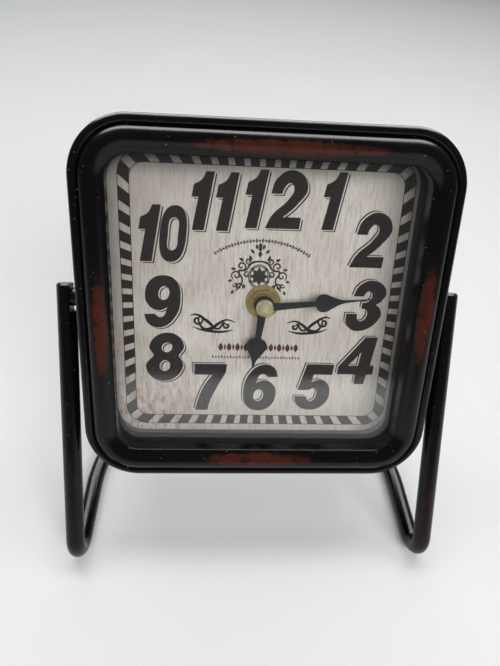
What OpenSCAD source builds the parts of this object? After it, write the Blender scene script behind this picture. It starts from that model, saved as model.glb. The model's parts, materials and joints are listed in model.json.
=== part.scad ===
// Table clock: a rounded-square metal case that tilts between the uprights of a bent rod stand.
// Millimetres. +Z is up, the dial faces -Y, and the origin is on the floor under the middle of the stand.
// The case is modelled face up on its own axes, x right, y up the dial and z out of the dial with 0 on
// the printed face, and on_case() stands it up at its place and tilt.

/* [Stand] */
// Diameter of the round rod
rod_d = 7.8; // [6:0.2:10]
// Gap between the bezel's bead and the rod on each side
rod_gap = 3; // [2:0.1:10]
// Angle that the uprights lean back
rod_lean = 30.5; // [15:0.5:40]
// Straight length of an upright from its foot bend to the pivot
upright_run = 108; // [100:1:150]
// Length of rod above the pivot, which is at the middle of the flat
rod_tip = 5.5; // [5:0.5:10]
// Centreline radius of the foot bends
foot_bend_r = 9; // [6:0.5:16]
// Straight length of the rod on the floor behind each foot bend
floor_run = 26; // [10:1:60]
// Depth of the flat milled on the inner side of each upper end
flat_depth = 2; // [1:0.1:3]

/* [Case] */
// Width and height of the case over the bezel's bead
case_w = 144; // [120:1:180]
// Outer corner radius of the bezel
corner_r = 22; // [18:1:30]
// Angle that the face of the case leans back
case_tilt = 21.7; // [0:0.1:45]
// How far the pivot is above the middle of the case
pivot_up = 2.7; // [0:0.1:10]
// How far the pivot is in front of the dial
pivot_out = 7.2; // [5:0.1:9]
// Thickness of the bezel's sheet
bezel_sheet = 0.8; // [0.6:0.1:1]
// Radius of the bezel's outer bead
bead_r = 1.7; // [1.4:0.1:2.2]
// Radius of the bezel's main roll
roll_r = 4.3; // [3.5:0.1:5]
// Distance of the bead's centre line in front of the dial
bead_out = 20.2; // [19:0.1:24]
// Distance from the bezel's outer edge to its inner lip
lip_inset = 13.2; // [12:0.1:14.5]
// Distance of the lip in front of the dial
lip_out = 22.4; // [21:0.1:24]
// How far the bead stands out from the drum
bead_stand = 2.5; // [2.2:0.1:3]
// Wall of the drum
drum_wall = 1; // [0.8:0.1:1.5]
// Distance from the dial back to the drum's rear face
drum_back = 20; // [20:0.5:30]
// Width of the drum's rear flange
flange_w = 5; // [4:0.5:6]
// Thickness of the back plate
plate_t = 1; // [0.8:0.1:2]
// Thickness of the glass
glass_t = 2; // [1.5:0.1:3]
// Height of the spacer between the dial and the glass
spacer_h = 15.5; // [15:0.1:18]
// How far the inside of the spacer stands back from the bezel's lip
view_step = 3.6; // [2:0.1:4]
// Wall of the spacer
spacer_wall = 1.2; // [0.8:0.1:1.4]

/* [Dial] */
// Thickness of the printed card
card_t = 0.3; // [0.2:0.05:0.5]
// Thickness of the dial board
board_t = 2.9; // [2:0.1:3.5]
// How far the hands' centre is to the right of the middle of the case
dial_right = 1.2; // [-3:0.1:3]
// How far the hands' centre is above the middle of the case
dial_up = 0.4; // [-3:0.1:3]
// Minute that the clock shows
show_minute = 14; // [0:1:59]
// Hour that the clock shows
show_hour = 6; // [0:1:11]
// Length of the minute hand
minute_len = 48.5; // [40:0.5:56]
// Length of the hour hand
hour_len = 29; // [22:0.5:38]
// Thickness of the hands
hand_t = 0.5; // [0.3:0.1:0.8]
// Height of the hour hand above the dial
hour_hand_out = 5.2; // [4.8:0.1:6]
// Height of the minute hand above the dial
minute_hand_out = 8.6; // [7.5:0.1:9]

/* [Movement] */
// Width and height of the movement
move_w = 56; // [56:1:60]
// Wall of the movement's housing
move_wall = 1.2; // [1:0.1:1.5]
// Diameter of the threaded bush
bush_d = 8; // [7:0.1:9]
// Diameter of the brass washer
washer_d = 15; // [12:0.5:18]
// Diameter of the cell
cell_d = 14; // [12:0.1:18]
// Length of the cell's can
cell_len = 49; // [48:0.5:50]

/* [Hidden] */
$fn = 96;
run_gap = 0.06;      // running clearance of a shaft in its bore
seat_gap = 0.05;     // clearance of a piece that seats in another
rod_r = rod_d / 2;
case_half = case_w / 2;
rod_x = case_half + rod_gap + rod_r;
bend_y = -(floor_run + rod_x - foot_bend_r) / 2;  // centres the stand's depth on the origin
bend_swell = 0.03;
bend_lap = 0.2;
floor_z = rod_r + bend_swell;            // height of the rod's centre line over the floor
bend_z = floor_z + foot_bend_r;
foot_y = bend_y - foot_bend_r * cos(rod_lean);
foot_z = bend_z + foot_bend_r * sin(rod_lean);
pivot_y = foot_y + upright_run * sin(rod_lean);
pivot_z = foot_z + upright_run * cos(rod_lean);
rod_top = upright_run + rod_tip;
tip_chamfer = 0.6;

corner_k = case_half - corner_r;         // distance of every corner's centre from the middle
drum_half = case_half - bead_stand;
drum_in = drum_half - drum_wall;
view_half = case_half - lip_inset + view_step;
drum_front = bead_out - bezel_sheet;
hem_back = bead_out - 5;
fit_half = drum_in - 0.5;                // half width of what drops into the drum
glass_back = spacer_h;
roll_end = 140;                          // where the roll runs out into the lip, in degrees
roll_rise = 0.4;

pivot_screw_r = 2;
pivot_head_r = 3.8;
pivot_head_t = 1.9;
pivot_bite = 4;                          // how far the pivot screw goes into the rod
spring_t = 0.5;
pivot_bush_r = 3;
pivot_flange_r = 4.4;
pivot_flange_t = 0.7;
sleeve_r = 3.7;
flat_x = rod_x - rod_r + flat_depth;

bracket_w = 10;
bracket_leg = 7;
bracket_t = 0.8;
back_screw_r = 1.3;
back_screw_x = corner_k - 14;           // on the straight part of the flange
back_head_r = 2.5;
back_head_t = 1.2;
back_screw_len = 5;
back_screw_y = drum_half - flange_w / 2;

board_back = -card_t - board_t;
cell_clear = 0.3;                        // between the cell and the plane of the movement's back
move_t = cell_d + cell_clear + move_wall + 0.5;
move_front_z = board_back;
move_back_z = move_front_z - move_t;
move_half = move_w / 2;
move_in_z = move_front_z - move_wall;
washer_t = 0.6;
nut_t = 2;
nut_across = 10.6;
bush_r = bush_d / 2;
bush_top = 3.6;
bush_flange_t = 0.6;
arbor_r = 1.5;
pipe_in_r = arbor_r + run_gap;
pipe_r = 2.5;
bush_in_r = pipe_r + run_gap;
minute_ang = show_minute * 6;
hour_ang = show_hour * 30 + show_minute / 2;

// Motion work: the cannon pinion turns the minute wheel, whose pinion turns the hour wheel
cannon_teeth = 12;
minute_teeth = 36;
pinion_teeth = 10;
hour_teeth = 40;
setting_teeth = 18;
cannon_mod = 0.4;
motion_dist = cannon_mod * (cannon_teeth + minute_teeth) / 2;
hour_mod = 2 * motion_dist / (pinion_teeth + hour_teeth);
motion_dir = 90;                         // direction of the minute wheel from the centre
setting_dir = 150;                       // direction of the setting gear from the minute wheel
setting_dist = cannon_mod * (setting_teeth + minute_teeth) / 2;
tooth_slack = 0.12;                      // backlash taken off each tooth
hour_wheel_z = move_in_z - 1.8;
minute_wheel_z = hour_wheel_z - 1.9;
wheel_t = 1;
post_r = 0.8;
centre_wheel_z = minute_wheel_z - 2.4;
thin_t = 0.6;
train_plate_z = centre_wheel_z - 1.8;
train_plate_t = 0.8;
arbor_back = train_plate_z + 0.1;

// Train: centre wheel, third wheel, step wheel and rotor, which stand still while the hands are set
centre_teeth = 60;
centre_mod = 0.25;
third_pinion = 10;
third_teeth = 60;
third_mod = 0.2;
step_pinion = 8;
step_teeth = 60;
step_mod = 0.18;
rotor_teeth = 12;
third_dist = centre_mod * (centre_teeth + third_pinion) / 2;
step_dist = third_mod * (third_teeth + step_pinion) / 2;
rotor_dist = step_mod * (step_teeth + rotor_teeth) / 2;
third_dir = -20;
step_dir = 40;
rotor_dir = 70;
third_wheel_z = centre_wheel_z + 1.1;
step_wheel_z = centre_wheel_z - 0.2;
magnet_r = 2.6;
magnet_t = 2.2;
magnet_z = step_wheel_z + 1;
stator_up = 0.7;                         // height of the stator plate on the magnet
stator_gap = 0.5;
stator_t = 0.8;
stator_w = 12;
stator_foot = 4.3;                        // length of plate on the far side of the rotor

cell_r = cell_d / 2;
cell_y = -move_half + move_wall + cell_r + 0.5;
cell_nub_r = 2.7;
cell_nub = 1.3;
cell_z = move_back_z + cell_r + cell_clear;
contact_t = 0.4;
bay_top = cell_y + cell_r + 0.6;
bay_wall = 1;
knob_r = 5;
knob_t = 2.2;
knob_gap = 0.6;
knob_shaft_r = 1.5;
open_gap = 1.5;                          // gap round the movement in the back plate
coil_r = 3.6;
coil_len = 15;
coil_y = 21;
coil_room = 0.5;                         // gap round the coil in the train plate
core_r = 1.2;

function polar(d, a) = d * [cos(a), sin(a)];
function arc(c, r, a0, a1, n) = [for (i = [0:n]) c + polar(r, a0 + (a1 - a0) * i / n)];
function flip(p) = [for (i = [len(p) - 1:-1:0]) p[i]];
motion_at = polar(motion_dist, motion_dir);
setting_at = motion_at + polar(setting_dist, setting_dir);
third_at = polar(third_dist, third_dir);
step_at = third_at + polar(step_dist, step_dir);
rotor_at = step_at + polar(rotor_dist, rotor_dir);

// Turn of a gear that meshes with one of z1 teeth turned by a1, which sees it in direction d
function mesh(a1, z1, z2, d) = d + 180 + 180 / z2 + (d - a1) * z1 / z2;
minute_wheel_turn = mesh(0, cannon_teeth, minute_teeth, motion_dir);
hour_wheel_turn = mesh(0, pinion_teeth, hour_teeth, motion_dir + 180);
setting_turn = mesh(minute_wheel_turn, minute_teeth, setting_teeth, setting_dir);
third_turn = mesh(0, centre_teeth, third_pinion, third_dir);
step_turn = mesh(0, third_teeth, step_pinion, step_dir);
rotor_turn = mesh(0, step_teeth, rotor_teeth, rotor_dir);

// Places what is modelled face up at the case's place and tilt
module on_case()
    translate([0, pivot_y, pivot_z]) rotate([90 - case_tilt, 0, 0])
        translate([0, -pivot_up, -pivot_out]) children();

// Places what is modelled round the hands' centre
module on_dial() on_case() translate([dial_right, dial_up, 0]) children();

// Flat square with round corners
module rounded(half, r) {
    square([2 * half, 2 * (half - r)], center = true);
    square([2 * (half - r), 2 * half], center = true);
    for (x = [-1, 1], y = [-1, 1]) translate([x, y] * (half - r)) circle(r = r);
}

// Flat frame with round corners that share the case's corner centres
module frame(outer, inner) difference() {
    rounded(outer, outer - corner_k);
    rounded(inner, inner - corner_k);
}

// Sweeps a profile round the case; the profile's x is the distance from the corner centres
module sweep() for (k = [0:3]) rotate([0, 0, 90 * k]) {
    translate([corner_k, 0, 0]) rotate([90, 0, 0]) linear_extrude(2 * corner_k, center = true) children();
    translate([corner_k, corner_k, 0]) rotate_extrude(angle = 90) children();
}

// Disc or tube with its lower face at z
module ring(r, r_in, z, h) translate([0, 0, z]) difference() {
    cylinder(h = h, r = r);
    if (r_in > 0) translate([0, 0, -1]) cylinder(h = h + 2, r = r_in);
}

// Involute gear of short teeth, with 25 degree flanks
module gear(teeth, m, turn, z, h, bore, steps = 4) {
    pitch = m * teeth / 2;
    base = pitch * cos(25);
    tip = pitch + 0.7 * m;
    root = pitch - m;
    start = max(base, root);
    inv = function(r) sqrt(max(0, r * r / (base * base) - 1)) * 180 / PI - acos(base / r);
    half = 90 / teeth - tooth_slack / 2 / pitch * 180 / PI;
    off = half + inv(pitch);
    flank = [for (i = [0:steps]) let (r = start + (tip - start) * i / steps) [r, off - inv(r)]];
    pts = [for (k = [0:teeth - 1]) let (c = k * 360 / teeth + turn) each concat(
        root < start ? [polar(root, c - off)] : [],
        [for (f = flank) polar(f[0], c - f[1])],
        [for (f = flip(flank)) polar(f[0], c + f[1])],
        root < start ? [polar(root, c + off)] : [])];
    translate([0, 0, z]) linear_extrude(h) difference() {
        polygon(pts);
        if (bore > 0) circle(r = bore);
    }
}

// Round rod bent into two uprights, two feet and a loop on the floor. The rod swells a little in its
// bends, and each straight stretch reaches into the bend by bend_lap.
module stand_rod() color("#1d1b1b") {
    for (s = [-1, 1]) {
        difference() {
            translate([s * rod_x, foot_y, foot_z]) rotate([-rod_lean, 0, 0]) {
                translate([0, 0, -bend_lap]) cylinder(h = rod_top - tip_chamfer + bend_lap, r = rod_r);
                translate([0, 0, rod_top - tip_chamfer])
                    cylinder(h = tip_chamfer, r1 = rod_r, r2 = rod_r - tip_chamfer);
            }
            translate([s * flat_x, foot_y, foot_z]) rotate([-rod_lean, 0, 0])
                translate([s > 0 ? -rod_d : 0, -rod_d, upright_run - rod_tip])
                    cube([rod_d, 2 * rod_d, 3 * rod_tip]);
            translate([0, pivot_y, pivot_z]) rotate([0, s * 90, 0]) translate([0, 0, flat_x - 1])
                cylinder(h = 1 + pivot_bite + seat_gap, r = pivot_screw_r + seat_gap);
        }
        translate([s * rod_x, bend_y, bend_z]) rotate([90, 0, 90]) rotate([0, 0, 180 - rod_lean])
            rotate_extrude(angle = 90 + rod_lean) translate([foot_bend_r, 0]) circle(r = rod_r + bend_swell);
        translate([s * rod_x, bend_y - bend_lap, floor_z]) rotate([-90, 0, 0])
            cylinder(h = floor_run + 2 * bend_lap, r = rod_r);
    }
    translate([0, bend_y + floor_run, floor_z]) rotate_extrude(angle = 180)
        translate([rod_x, 0]) circle(r = rod_r + bend_swell);
}

// Places what is modelled along +z from the middle of the stand outwards, on each pivot
module on_pivots() for (s = [-1, 1]) translate([0, pivot_y, pivot_z]) rotate([0, s * 90, 0]) children();

spring_at = drum_in - pivot_flange_t - spring_t;
sleeve_at = drum_half + seat_gap;

module pivot_screws() color("#b9b6ae") on_pivots() {
    translate([0, 0, spring_at - pivot_head_t]) difference() {
        cylinder(h = pivot_head_t, r = pivot_head_r);
        translate([-pivot_head_r, -0.4, -0.1]) cube([2 * pivot_head_r, 0.8, 0.9]);
    }
    translate([0, 0, spring_at - 0.5]) cylinder(h = flat_x + pivot_bite - spring_at + 0.5, r = pivot_screw_r);
}

module spring_washers() color("#9c9a94") on_pivots()
    ring(pivot_head_r - 0.3, pivot_screw_r + seat_gap, spring_at, spring_t);

module pivot_sleeves() color("#1d1b1b") on_pivots()
    ring(sleeve_r, pivot_screw_r + seat_gap, sleeve_at, flat_x - sleeve_at);

module pivot_bushes() color("#d9d4c8") on_pivots() {
    ring(pivot_flange_r, pivot_screw_r + run_gap, drum_in - pivot_flange_t, pivot_flange_t);
    ring(pivot_bush_r, pivot_screw_r + run_gap, drum_in - pivot_flange_t, pivot_flange_t + drum_wall);
}

// Side wall of the case, with a flange turned in at the rear
module case_drum() color("#1d1b1b") difference() {
    on_case() {
        translate([0, 0, -drum_back]) linear_extrude(drum_back + drum_front) frame(drum_half, drum_in);
        difference() {
            translate([0, 0, -drum_back]) linear_extrude(drum_wall) frame(drum_half, drum_half - flange_w);
            on_back_screws() cylinder(h = 3 * drum_wall, r = back_screw_r + seat_gap, center = true);
        }
    }
    on_pivots() translate([0, 0, drum_in - 1]) cylinder(h = drum_wall + 2, r = pivot_bush_r + seat_gap);
}

module on_back_screws() for (x = [-1, 1], y = [-1, 1])
    translate([x * back_screw_x, y * back_screw_y, -drum_back]) children();

// Angle brackets on the drum's wall that carry the dial board from behind
module board_brackets() color("#8f8d88") on_case() for (x = [-1, 1], y = [-1, 1])
    translate([x * back_screw_x - bracket_w / 2, 0, board_back]) mirror([0, y > 0 ? 0 : 1, 0]) {
        translate([0, drum_in - bracket_t, -bracket_leg]) cube([bracket_w, bracket_t, bracket_leg]);
        translate([0, drum_in - bracket_leg, -bracket_t]) cube([bracket_w, bracket_leg, bracket_t]);
    }

// Pressed sheet: hem, outer bead, groove, main roll, lip and the return that holds the glass
module bezel_profile() {
    r = corner_r;
    t = bezel_sheet;
    bead_c = [r - bead_r, bead_out];
    groove = r - 2 * bead_r;
    roll_c = [groove - roll_r, bead_out + roll_rise];
    lip = r - lip_inset;
    hem = r - bead_stand + seat_gap;
    outer = concat([[hem, hem_back], [r - 0.5, hem_back], [r, hem_back + 0.5]],
        arc(bead_c, bead_r, 0, 180, 14), arc(roll_c, roll_r, 0, roll_end, 22),
        [[lip, lip_out], [lip, glass_back + glass_t]]);
    inner = concat([[hem, hem_back + t], [r - t, hem_back + t]], arc(bead_c, bead_r - t, 0, 180, 14),
        [[groove + t, bead_out - t], [groove - t, bead_out - t]],
        arc(roll_c, roll_r - t, 0, roll_end, 22),
        [[lip + t, lip_out - t / 2], [lip + t, glass_back + glass_t]]);
    polygon(concat(outer, flip(inner)));
}

module bezel() color("#1f1c1b") on_case() sweep() bezel_profile();

module glass() color([0.85, 0.9, 0.92, 0.35]) on_case()
    translate([0, 0, glass_back]) linear_extrude(glass_t) rounded(fit_half, fit_half - corner_k);

module spacer_frame() color("#77746f") on_case()
    linear_extrude(spacer_h) frame(view_half + spacer_wall, view_half);

module dial_card() color("#d8d3cb") on_case() translate([0, 0, -card_t]) linear_extrude(card_t)
    difference() {
        rounded(fit_half, fit_half - corner_k);
        translate([dial_right, dial_up]) circle(r = bush_r + seat_gap);
    }

module dial_board() color("#8a6a4a") on_case() translate([0, 0, board_back]) linear_extrude(board_t)
    difference() {
        rounded(fit_half, fit_half - corner_k);
        translate([dial_right, dial_up]) circle(r = bush_r + seat_gap);
    }

module back_plate() color("#1d1b1b") on_case() translate([0, 0, -drum_back - plate_t])
    difference() {
        linear_extrude(plate_t) difference() {
            rounded(drum_half - 0.7, drum_half - 0.7 - corner_k);
            translate([dial_right, dial_up]) square(move_w + 2 * open_gap, center = true);
        }
        translate([0, 0, drum_back + plate_t]) on_back_screws()
            cylinder(h = 3 * plate_t, r = back_screw_r + seat_gap, center = true);
    }

module back_screws() color("#a8a59d") on_case() on_back_screws() {
    translate([0, 0, -plate_t]) cylinder(h = back_screw_len, r = back_screw_r);
    translate([0, 0, -plate_t - back_head_t]) difference() {
        cylinder(h = back_head_t, r = back_head_r);
        for (a = [0, 90]) rotate([0, 0, a])
            translate([-back_head_r * 0.6, -0.3, -0.1]) cube([back_head_r * 1.2, 0.6, 0.7]);
    }
}

// Front half of the movement's housing, with the post of the minute wheel
module movement_front() color("#2b2b2d") on_dial() {
    difference() {
        translate([-move_half, -move_half, train_plate_z])
            cube([move_w, move_w, move_front_z - train_plate_z]);
        translate([-move_half + move_wall, -move_half + move_wall, train_plate_z - 1])
            cube([move_w - 2 * move_wall, move_w - 2 * move_wall, move_in_z - train_plate_z + 1]);
        translate([0, 0, move_in_z - 1]) cylinder(h = move_wall + 2, r = bush_r + seat_gap);
    }
    translate([motion_at.x, motion_at.y, minute_wheel_z - 0.6])
        cylinder(h = move_in_z - minute_wheel_z + 1, r = post_r);
}

// Back half of the housing, with the open battery bay and the hole of the setting shaft
module movement_back() color("#2b2b2d") on_dial() difference() {
    translate([-move_half, -move_half, move_back_z])
        cube([move_w, move_w, train_plate_z - move_back_z]);
    translate([-move_half + move_wall, bay_top + bay_wall, move_back_z + move_wall])
        cube([move_w - 2 * move_wall, move_half - move_wall - bay_top - bay_wall, move_t]);
    translate([-move_half + move_wall, -move_half + move_wall, move_back_z - 1])
        cube([move_w - 2 * move_wall, bay_top + move_half - move_wall, move_t]);
    translate([setting_at.x, setting_at.y, move_back_z - 1])
        cylinder(h = move_wall + 2, r = knob_shaft_r + run_gap);
}

module threaded_bush() color("#c9a24a") on_dial() {
    ring(bush_r, bush_in_r, move_in_z, bush_top - move_in_z);
    ring(bush_r + 1.4, bush_in_r, move_in_z - bush_flange_t, bush_flange_t);
}

module dial_washer() color("#c9a24a") on_dial() ring(washer_d / 2, bush_r + seat_gap, 0, washer_t);

module dial_nut() color("#c9a24a") on_dial() difference() {
    translate([0, 0, washer_t]) intersection() {
        cylinder(h = nut_t, r = nut_across / 2 / cos(30), $fn = 6);
        cylinder(h = nut_t, r = nut_across / 2 + 0.35);
    }
    translate([0, 0, washer_t - 1]) cylinder(h = nut_t + 2, r = bush_r + seat_gap);
}

// Plate between the two halves that carries the train's rear pivots, with a window round the coil
module train_plate() color("#e4e0d6") on_dial() difference() {
    translate([-move_half + move_wall + seat_gap, bay_top + bay_wall, train_plate_z - train_plate_t])
        cube([move_w - 2 * (move_wall + seat_gap), move_half - move_wall - seat_gap - bay_top - bay_wall,
            train_plate_t]);
    translate([setting_at.x, setting_at.y, train_plate_z - 2]) cylinder(h = 4, r = knob_shaft_r + run_gap);
    translate([rotor_at.x - coil_len / 2 - coil_room, coil_y - coil_r - coil_room, train_plate_z - 2])
        cube([coil_len + 2 * coil_room, 2 * (coil_r + coil_room), 4]);
}

module centre_wheel() color("#c9a24a") on_dial()
    gear(centre_teeth, centre_mod, 0, centre_wheel_z, thin_t, arbor_r + run_gap, 1);

module third_wheel() color("#e9e5da") on_dial() translate([third_at.x, third_at.y, 0]) {
    gear(third_pinion, centre_mod, third_turn, centre_wheel_z, third_wheel_z - centre_wheel_z, 0, 2);
    gear(third_teeth, third_mod, 0, third_wheel_z, thin_t, 0, 1);
    translate([0, 0, train_plate_z]) cylinder(h = centre_wheel_z - train_plate_z, r = 0.5);
}

module step_wheel() color("#e9e5da") on_dial() translate([step_at.x, step_at.y, 0]) {
    gear(step_teeth, step_mod, 0, step_wheel_z, thin_t, 0, 1);
    gear(step_pinion, third_mod, step_turn, step_wheel_z + thin_t, third_wheel_z - step_wheel_z, 0, 2);
    translate([0, 0, train_plate_z]) cylinder(h = step_wheel_z - train_plate_z, r = 0.4);
}

module rotor() color("#55575c") on_dial() translate([rotor_at.x, rotor_at.y, 0]) {
    gear(rotor_teeth, step_mod, rotor_turn, step_wheel_z, magnet_z - step_wheel_z, 0, 2);
    translate([0, 0, magnet_z]) cylinder(h = magnet_t, r = magnet_r);
    translate([0, 0, train_plate_z]) cylinder(h = step_wheel_z - train_plate_z, r = 0.4);
}

// Iron plates that run from the rotor up to the coil's core
module stator() color("#9a9da3") on_dial()
    translate([rotor_at.x, rotor_at.y, magnet_z + stator_up]) linear_extrude(stator_t) difference() {
        translate([-stator_w / 2, -stator_foot])
            square([stator_w, coil_y - rotor_at.y + stator_foot + core_r]);
        circle(r = magnet_r + stator_gap);
        translate([-stator_w / 4, stator_foot + 0.5])
            square([stator_w / 2, coil_y - rotor_at.y - stator_foot - coil_r]);
    }

module coil() color("#b5652f") on_dial()
    translate([rotor_at.x - coil_len / 2, coil_y, magnet_z + stator_up - coil_r - seat_gap])
        rotate([0, 90, 0])
        difference() {
            cylinder(h = coil_len, r = coil_r);
            translate([0, 0, -1]) cylinder(h = coil_len + 2, r = core_r);
        }

module circuit_board() color("#2f6b3c") on_dial()
    translate([-move_half + move_wall + 1, 17.5, train_plate_z + 0.2]) cube([20, 8, 1]);

module quartz_crystal() color("#c4c6c9") on_dial()
    translate([-22, 22, train_plate_z + 2.3]) rotate([0, 90, 0]) cylinder(h = 6, r = 1);

// Spring blades at both ends of the battery bay
module battery_contacts() color("#c4c6c9") on_dial() for (s = [-1, 1])
    translate([s > 0 ? move_half - move_wall - contact_t : -move_half + move_wall,
        cell_y - 4, move_back_z + 2]) cube([contact_t, 8, 10]);

// Steel arbor with the cannon pinion, threaded at its front end
module minute_arbor() color("#a8a59d") on_dial() rotate([0, 0, -minute_ang]) {
    translate([0, 0, arbor_back]) cylinder(h = minute_hand_out + hand_t + 1.6 - arbor_back, r = arbor_r);
    gear(cannon_teeth, cannon_mod, minute_ang, minute_wheel_z - 0.1, wheel_t + 0.2, arbor_r - 0.2);
}

// Spade hand that points up from the hub: shaft, disc and point
module spade(length, disc_at, disc_r, hub_r, shaft_w, neck_w, bore) linear_extrude(hand_t) difference() {
    union() {
        circle(r = hub_r);
        polygon([[-shaft_w / 2, 0], [shaft_w / 2, 0], [neck_w / 2, disc_at], [-neck_w / 2, disc_at]]);
        translate([0, disc_at]) circle(r = disc_r);
        polygon([[-disc_r * 0.8, disc_at + disc_r * 0.6], [disc_r * 0.8, disc_at + disc_r * 0.6],
            [0.25, disc_at + disc_r * 2.6], [0.2, length], [-0.2, length], [-0.25, disc_at + disc_r * 2.6]]);
    }
    circle(r = bore);
}

module minute_hand() color("#161414") on_dial() rotate([0, 0, -minute_ang])
    translate([0, 0, minute_hand_out]) spade(minute_len, 24.7, 3.85, 3.2, 3.3, 2.2, arbor_r + 0.01);

module cap_nut() color("#c9a24a") on_dial() translate([0, 0, minute_hand_out + hand_t]) difference() {
    union() {
        cylinder(h = 1.2, r = 3.6);
        translate([0, 0, 1.2]) intersection() {
            sphere(r = 3);
            cylinder(h = 3, r = 3);
        }
    }
    translate([0, 0, -1]) cylinder(h = 2.7, r = arbor_r + 0.01);
}

module hour_wheel() color("#e9e5da") on_dial() {
    gear(hour_teeth, hour_mod, hour_wheel_turn, hour_wheel_z, wheel_t, pipe_in_r);
    ring(pipe_r, pipe_in_r, hour_wheel_z, hour_hand_out + hand_t - hour_wheel_z);
}

module hour_hand() color("#161414") on_dial() rotate([0, 0, -hour_ang])
    translate([0, 0, hour_hand_out]) spade(hour_len, 18.8, 4.3, 4.05, 3.4, 2.6, pipe_r + 0.01);

// Wheel and pinion on the housing's post, between the arbor and the hour wheel
module minute_wheel() color("#e9e5da") on_dial() translate([motion_at.x, motion_at.y, 0]) {
    gear(minute_teeth, cannon_mod, minute_wheel_turn, minute_wheel_z, wheel_t, post_r + run_gap);
    gear(pinion_teeth, hour_mod, 0, minute_wheel_z + wheel_t,
        hour_wheel_z - minute_wheel_z + 0.1, post_r + run_gap);
}

module setting_gear() color("#e9e5da") on_dial() translate([setting_at.x, setting_at.y, 0]) {
    gear(setting_teeth, cannon_mod, setting_turn, minute_wheel_z, wheel_t, 0);
    translate([0, 0, move_back_z - knob_gap]) cylinder(h = minute_wheel_z - move_back_z + knob_gap,
        r = knob_shaft_r);
}

// Knob behind the movement that turns the hands
module setting_knob() color("#2b2b2d") on_dial()
    translate([setting_at.x, setting_at.y, move_back_z - knob_gap - knob_t]) difference() {
        cylinder(h = knob_t, r = knob_r);
        for (a = [0:20:340]) rotate([0, 0, a]) translate([knob_r + 0.25, 0, -1])
            cylinder(h = knob_t + 2, r = 0.6);
    }

module battery() color("#b8862e") on_dial() translate([-cell_len / 2, cell_y, cell_z]) rotate([0, 90, 0]) {
    cylinder(h = cell_len, r = cell_r);
    translate([0, 0, cell_len]) cylinder(h = cell_nub, r = cell_nub_r);
}

stand_rod();
pivot_screws();
spring_washers();
pivot_sleeves();
pivot_bushes();
case_drum();
board_brackets();
bezel();
glass();
spacer_frame();
dial_card();
dial_board();
back_plate();
back_screws();
movement_front();
movement_back();
threaded_bush();
dial_washer();
dial_nut();
train_plate();
centre_wheel();
third_wheel();
step_wheel();
rotor();
stator();
coil();
circuit_board();
quartz_crystal();
battery_contacts();
minute_arbor();
minute_hand();
cap_nut();
hour_wheel();
hour_hand();
minute_wheel();
setting_gear();
setting_knob();
battery();
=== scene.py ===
import json
import math

import bpy
from mathutils import Matrix, Vector


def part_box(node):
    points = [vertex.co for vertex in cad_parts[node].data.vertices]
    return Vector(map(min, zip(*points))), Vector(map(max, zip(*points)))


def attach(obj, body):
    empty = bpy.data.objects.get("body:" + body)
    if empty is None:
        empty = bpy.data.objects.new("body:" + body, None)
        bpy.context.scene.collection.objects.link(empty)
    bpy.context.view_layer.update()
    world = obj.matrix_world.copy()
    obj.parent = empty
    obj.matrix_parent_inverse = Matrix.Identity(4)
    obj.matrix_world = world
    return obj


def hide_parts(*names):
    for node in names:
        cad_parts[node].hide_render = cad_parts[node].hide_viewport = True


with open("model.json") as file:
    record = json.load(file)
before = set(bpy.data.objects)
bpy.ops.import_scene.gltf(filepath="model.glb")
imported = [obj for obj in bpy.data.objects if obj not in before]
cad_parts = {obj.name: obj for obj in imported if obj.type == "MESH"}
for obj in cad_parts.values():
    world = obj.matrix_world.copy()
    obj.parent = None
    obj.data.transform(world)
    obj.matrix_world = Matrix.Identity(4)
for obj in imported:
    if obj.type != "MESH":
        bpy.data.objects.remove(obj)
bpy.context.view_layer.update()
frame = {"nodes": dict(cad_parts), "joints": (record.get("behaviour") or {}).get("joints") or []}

joints = {joint["name"]: joint for joint in frame["joints"]}
pivot = Vector(joints["case_tilt"]["pos_m"])
dial_centre = Vector(joints["minute_turn"]["pos_m"])
into_dial = Vector(joints["minute_turn"]["axis"])
case_tilt = math.atan2(-into_dial.z, into_dial.y)
dial_turn = math.pi / 2 - case_tilt


# ---- The stand rod ----
# One mild steel rod, bent cold into two leaning uprights, two feet and a half round loop on the table.
# It is coated in the same black enamel as the case, which is rubbed brown where hands pick it up.
mm = 0.001


class Signal:
    """A shader socket that sums can be written with."""

    def __init__(self, finish, socket):
        self.finish = finish
        self.socket = socket

    def math(self, operation, other=None, swapped=False):
        pair = (self,) if other is None else (self, other)
        if swapped:
            pair = (other, self)
        return self.finish.add("Math", {"operation": operation}, dict(enumerate(pair)))

    def __add__(self, other):
        return self.math("ADD", other)

    def __sub__(self, other):
        return self.math("SUBTRACT", other)

    def __rsub__(self, other):
        return self.math("SUBTRACT", other, swapped=True)

    def __mul__(self, other):
        return self.math("MULTIPLY", other)

    def __truediv__(self, other):
        return self.math("DIVIDE", other)

    __radd__ = __add__


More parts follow.
